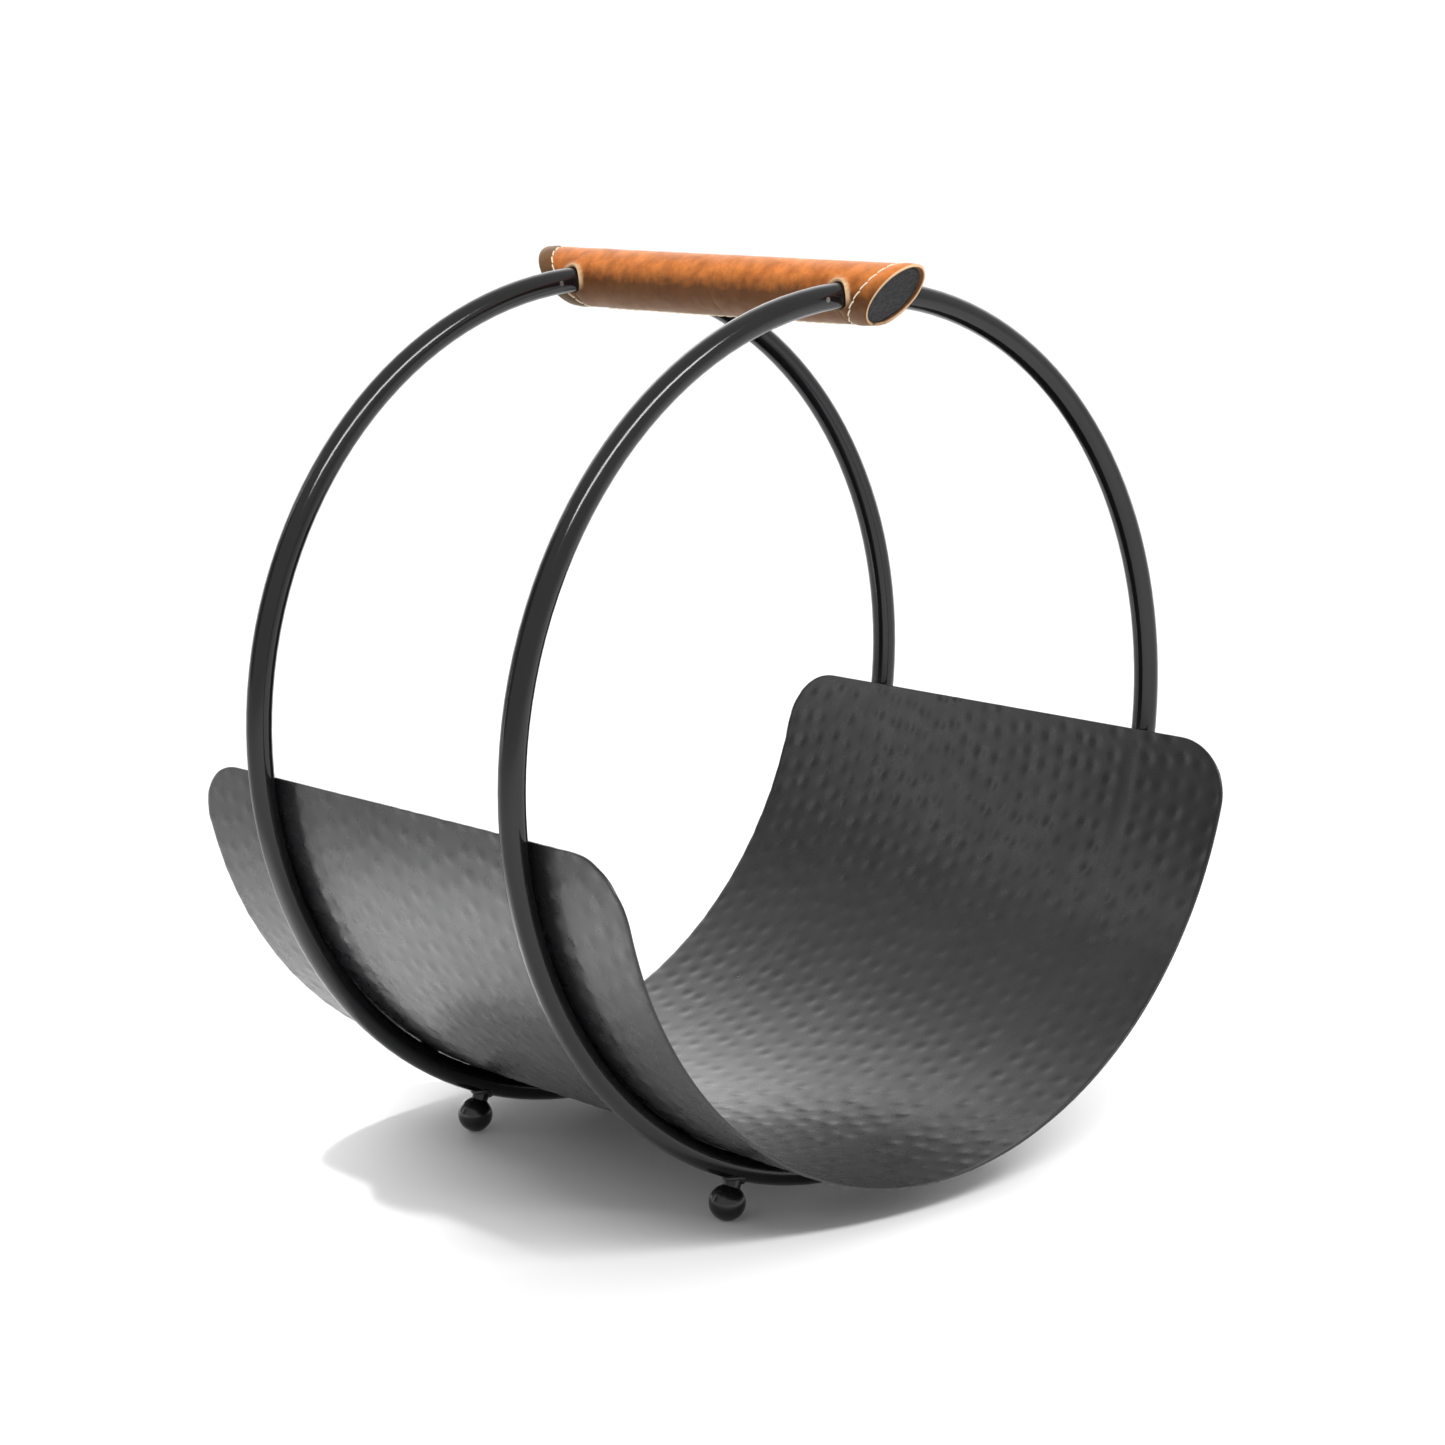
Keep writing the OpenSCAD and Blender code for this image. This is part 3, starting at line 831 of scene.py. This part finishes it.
THREAD_R = 0.42 * MM
STITCH_PITCH = 6 * MM
STITCH_SHARE = 0.92
STITCH_TILT = 0.35 * MM
STITCH_STEPS = 15
SEAM_MARGIN = math.radians(10)
SEAM_PITCH = 6 * MM
SEAM_REACH = 2.6 * MM
SEAM_SLANT = 0.35
SEAM_STEPS = 13
SEAM_THREAD_R = 0.9 * THREAD_R
PLY_TURN = 2.6 * MM
PLY_R = 0.62 * THREAD_R
PLY_OFFSET = 0.45 * THREAD_R
ROW_SINK, ROW_RISE = 0.55 * MM, 0.8 * MM
SEAM_SINK, SEAM_RISE = 0.5 * MM, 0.75 * MM


def thread_lift(around, y, sink, rise):
    """The height of a stitch's middle line: sunk in the leather at its two ends, risen between."""
    share = np.linspace(0, 1, len(around))
    arch = 1 - np.abs(2 * share - 1) ** 5
    return leather_lift(around, y) + LEATHER_T / 2 - sink + rise * arch


def stitch(around, y):
    """One stitch of two-ply thread that comes up out of the leather, lies on it and goes back in."""
    share = np.linspace(0, 1, len(around))
    path = on_sleeve(around, y, thread_lift(around, y, ROW_SINK, ROW_RISE))
    along = np.gradient(path, axis=0)
    along /= np.linalg.norm(along, axis=1)[:, None]
    up = np.stack([np.sin(around / GRIP_R), np.zeros_like(y), np.cos(around / GRIP_R)], -1)
    across = np.cross(along, up)
    length = np.linalg.norm(np.diff(path, axis=0), axis=1).sum()
    twist = 2 * math.pi * share * length / PLY_TURN
    parts = []
    for ply in (0, math.pi):
        side = across * np.cos(twist + ply)[:, None] + up * np.sin(twist + ply)[:, None]
        parts.append(swept_tube(path + side * PLY_OFFSET, [PLY_R] * len(path), 8))
    return joined(parts)


def end_row(end):
    """The stitches of the row that runs parallel to one cut end."""
    count = int(2 * math.pi * GRIP_R / (STITCH_PITCH * math.cos(math.atan(END_SLANT))))
    step = (2 * math.pi - 2 * SEAM_MARGIN) / count
    parts = []
    for i in range(count):
        middle = -math.pi + SEAM_MARGIN + (i + 0.5) * step
        angles = middle + np.linspace(-0.5, 0.5, STITCH_STEPS) * step * STITCH_SHARE
        around = angles * GRIP_R
        tilt = np.linspace(-STITCH_TILT, STITCH_TILT, STITCH_STEPS) * end
        y = end * (sleeve_end(around) - ROW_INSET) + tilt
        parts.append(stitch(around, y))
    return joined(parts)


def seam_row():
    """Stitches that cross the seam underneath, between the hoops. They bridge the gap."""
    reach = HOOP_Y - 2 * TUBE_R
    count = int(reach / SEAM_PITCH)
    parts = []
    for i in range(-count, count + 1):
        across = np.linspace(-SEAM_REACH, SEAM_REACH, SEAM_STEPS)
        around = math.pi * GRIP_R + across
        wrapped = np.where(around > math.pi * GRIP_R, around - 2 * math.pi * GRIP_R, around)
        y = i * SEAM_PITCH + across * SEAM_SLANT
        path = on_sleeve(wrapped, y, thread_lift(wrapped, y, SEAM_SINK, SEAM_RISE))
        parts.append(swept_tube(path, [SEAM_THREAD_R] * len(path), 10))
    return joined(parts)


# ---- Welds ----

WELD_ANGLES = (-64, -32, 0, 32, 64)
WELD_LENGTH = 12 * MM
WELD_R = 2.6 * MM
WELD_RIPPLE = 1.5 * MM
WELD_STEPS = 60
FOOT_BEAD_R = 1.3 * MM
FOOT_BEAD_STEPS = 72
FOOT_BEAD_SIDES = 14


def rippled(length, radius, ripple, rings):
    """Radii along a weld bead: rounded ends, and a ripple for each drop of the weld pool."""
    share = np.linspace(0, 1, rings)
    rounded = np.clip(1 - np.abs(2 * share - 1) ** 4, 0.02, 1) ** 0.5
    phase = (share * length / ripple) % 1
    return radius * rounded * (0.90 + 0.10 * np.sqrt(1 - phase))


def cradle_beads(end):
    """Short welds in the corner between one hoop and the sheet, on the tube's +Y side."""
    parts = []
    for degrees in WELD_ANGLES:
        half = WELD_LENGTH / CRADLE_R / 2
        angles = math.radians(degrees) + np.linspace(-half, half, WELD_STEPS)
        radius = CRADLE_R + WELD_R / 2
        y = np.full_like(angles, end * HOOP_Y + TUBE_R - WELD_R / 2)
        path = np.stack([radius * np.sin(angles), y, HOOP_Z - radius * np.cos(angles)], -1)
        parts.append(swept_tube(path, rippled(WELD_LENGTH, WELD_R, WELD_RIPPLE, len(path)), 20))
    return joined(parts)


def foot_beads(end):
    """The weld round the top of each of one hoop's two studs, along the line where it meets the tube."""
    parts = []
    for side in ("left", "right"):
        prefix = "front" if end == FRONT else "rear"
        low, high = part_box(f"{prefix}_{side}_ball")
        ball = Vector(((low.x + high.x) / 2, end * HOOP_Y, low.z + (high.x - low.x) / 2))
        hoop_middle = Vector((0, end * HOOP_Y, HOOP_Z))
        outward = (ball - hoop_middle).normalized()
        sideways = Vector((0, 1, 0)).cross(outward)
        stud_low, stud_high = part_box(f"{prefix}_{side}_stud")
        stud_r = (stud_high.y - stud_low.y) / 2
        turn = np.linspace(0, 2 * math.pi, FOOT_BEAD_STEPS, endpoint=False)
        ring_r = stud_r + 0.35 * FOOT_BEAD_R
        points = []
        for t in turn:
            depth = math.sqrt(TUBE_R**2 - (ring_r * math.cos(t)) ** 2)
            centre = hoop_middle + outward * (HOOP_R + depth)
            spoke = Vector((0, 1, 0)) * math.cos(t) + sideways * math.sin(t)
            centre = centre + spoke * ring_r
            phase = (t * ring_r / WELD_RIPPLE) % 1
            thickness = FOOT_BEAD_R * (0.88 + 0.12 * math.sqrt(1 - phase))
            for j in range(FOOT_BEAD_SIDES):
                a = 2 * math.pi * j / FOOT_BEAD_SIDES
                points.append(centre + spoke * thickness * math.cos(a) + outward * thickness * math.sin(a))
        parts.append((points, ring_faces(len(turn), FOOT_BEAD_SIDES, closed=True)))
    return joined(parts)


# ---- Build ----

build_cradle()
build_sleeve()
build_foam()
for name, end in ENDS.items():
    make_piece(
        f"{name}_end_stitches", *end_row(end), THREAD, "cream_thread", [f"{name}_end_stitching"]
    )
    make_piece(
        f"{name}_cradle_beads", *cradle_beads(end), WELD_COAT, "weld_black", [f"{name}_cradle_welds"]
    )
    make_piece(f"{name}_foot_beads", *foot_beads(end), WELD_COAT, "weld_black", [f"{name}_foot_welds"])
make_piece("seam_stitches", *seam_row(), THREAD, "cream_thread", ["seam_stitching"])

CAD_FINISHES = {
    "hoop": HOOP_COAT,
    "stud": HOOP_COAT,
    "ball": FOOT_COAT,
    "core_weld": WELD_COAT,
    "splice_rod": BARE_STEEL,
    "handle_core": BARE_STEEL,
    "splice_pins": PIN_STEEL,
}
for name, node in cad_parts.items():
    for ending, finish in CAD_FINISHES.items():
        if name.endswith(ending):
            for slot in node.material_slots:
                slot.material = finish

# ---- Floor, light and camera ----

FLOOR_HALF = 40
AIM = Vector((0, -0.001, HOOP_Z - 0.005))
CAMERA_AZIMUTH = math.radians(-42.47)
CAMERA_ELEVATION = math.radians(10.34)
CAMERA_ROLL = math.radians(0.125)
CAMERA_DISTANCE = 1.618
LENS_MM = 84.16
WALL_LIGHT = 0.84
BACKDROP_LIGHT = 1.7
DARK_WALL_LOSS = 0.62
# Azimuth from +X, elevation, and the inner and outer angle of each, in degrees.
BACKDROP_PLACE = (47.5, 5, 20, 60)
DARK_WALL_PLACE = (130, 16, 8, 34)


def build_floor():
    """The studio floor, large enough to reach the horizon."""
    corners = [(x * FLOOR_HALF, y * FLOOR_HALF, 0) for x, y in ((-1, -1), (1, -1), (1, 1), (-1, 1))]
    mesh = bpy.data.meshes.new("floor")
    mesh.from_pydata(corners, [], [(0, 1, 2, 3)])
    mesh.materials.append(pale_floor())
    floor = bpy.data.objects.new("floor", mesh)
    bpy.context.scene.collection.objects.link(floor)


def glow(tree, direction, azimuth, elevation, inner, outer):
    """Share from 1 within the inner angle of this direction to 0 beyond the outer one, in degrees."""
    turn, rise = math.radians(azimuth), math.radians(elevation)
    middle = (math.cos(turn) * math.cos(rise), math.sin(turn) * math.cos(rise), math.sin(rise))
    towards = add(tree, "ShaderNodeVectorMath", {0: direction, 1: middle}, operation="DOT_PRODUCT")
    limits = {
        "Value": towards.outputs["Value"],
        "From Min": math.cos(math.radians(outer)),
        "From Max": math.cos(math.radians(inner)),
    }
    return add(tree, "ShaderNodeMapRange", limits, interpolation_type="SMOOTHSTEP").outputs["Result"]


def build_world():
    """White studio walls, with a brighter backdrop behind the rack and a darker wall behind the
    left strip light, so that the hammer marks show."""
    world = bpy.data.worlds.new("studio")
    world.use_nodes = True
    bpy.context.scene.world = world
    tree = world.node_tree
    direction = tree.nodes.new("ShaderNodeTexCoord").outputs["Generated"]
    backdrop = calculated(tree, "MULTIPLY", glow(tree, direction, *BACKDROP_PLACE), BACKDROP_LIGHT)
    dark_wall = calculated(tree, "MULTIPLY", glow(tree, direction, *DARK_WALL_PLACE), DARK_WALL_LOSS)
    total = calculated(tree, "ADD", calculated(tree, "SUBTRACT", backdrop, dark_wall), WALL_LIGHT)
    tree.links.new(total, tree.nodes["Background"].inputs["Strength"])
    tree.nodes["Background"].inputs["Color"].default_value = (1.0, 1.0, 1.0, 1)


def aim_lamp(lamp, place, target):
    """Puts a lamp in place, turned towards its target."""
    lamp.location = place
    lamp.rotation_mode = "QUATERNION"
    lamp.rotation_quaternion = (Vector(target) - Vector(place)).to_track_quat("-Z", "Y")
    bpy.context.scene.collection.objects.link(lamp)


def build_floor_light():
    """A spotlight on the floor behind the rack's left side. The sheet's outside mirrors the floor."""
    light = bpy.data.lights.new("floor_light", "SPOT")
    light.energy = 345
    light.spot_size = math.radians(9.5)
    light.spot_blend = 0.5
    light.shadow_soft_size = 0.12
    lamp = bpy.data.objects.new("floor_light", light)
    aim_lamp(lamp, (-0.45, 0.75, 1.9), (-0.29, 0.165, 0))
    lamp.visible_glossy = False


def softbox(name, place, target, width, height, watts):
    """A rectangular lamp that the camera doesn't see directly."""
    light = bpy.data.lights.new(name, "AREA")
    light.shape = "RECTANGLE"
    light.size = width
    light.size_y = height
    light.energy = watts
    lamp = bpy.data.objects.new(name, light)
    aim_lamp(lamp, place, target)
    lamp.visible_camera = False


def build_camera():
    """The camera, with a long lens, in front of the rack to its left and a little above it."""
    back = Vector(
        (
            math.sin(CAMERA_AZIMUTH) * math.cos(CAMERA_ELEVATION),
            -math.cos(CAMERA_AZIMUTH) * math.cos(CAMERA_ELEVATION),
            math.sin(CAMERA_ELEVATION),
        )
    )
    camera = bpy.data.objects.new("camera", bpy.data.cameras.new("camera"))
    camera.data.lens = LENS_MM
    camera.data.sensor_width = 36
    camera.location = AIM + back * CAMERA_DISTANCE
    camera.rotation_mode = "QUATERNION"
    upright = (-back).to_track_quat("-Z", "Y")
    camera.rotation_quaternion = upright @ Quaternion((0, 0, 1), CAMERA_ROLL)
    bpy.context.scene.collection.objects.link(camera)
    bpy.context.scene.camera = camera


build_floor()
build_world()
build_floor_light()
softbox("front_strip", (-0.35, -1.45, 1.75), (0, 0, 0.3), width=2.0, height=0.30, watts=39)
softbox("left_strip", (-1.0, 1.2, 0.85), (0, 0, 0.85), width=0.10, height=1.5, watts=2.2)
build_camera()
bpy.context.scene.view_settings.view_transform = "Standard"
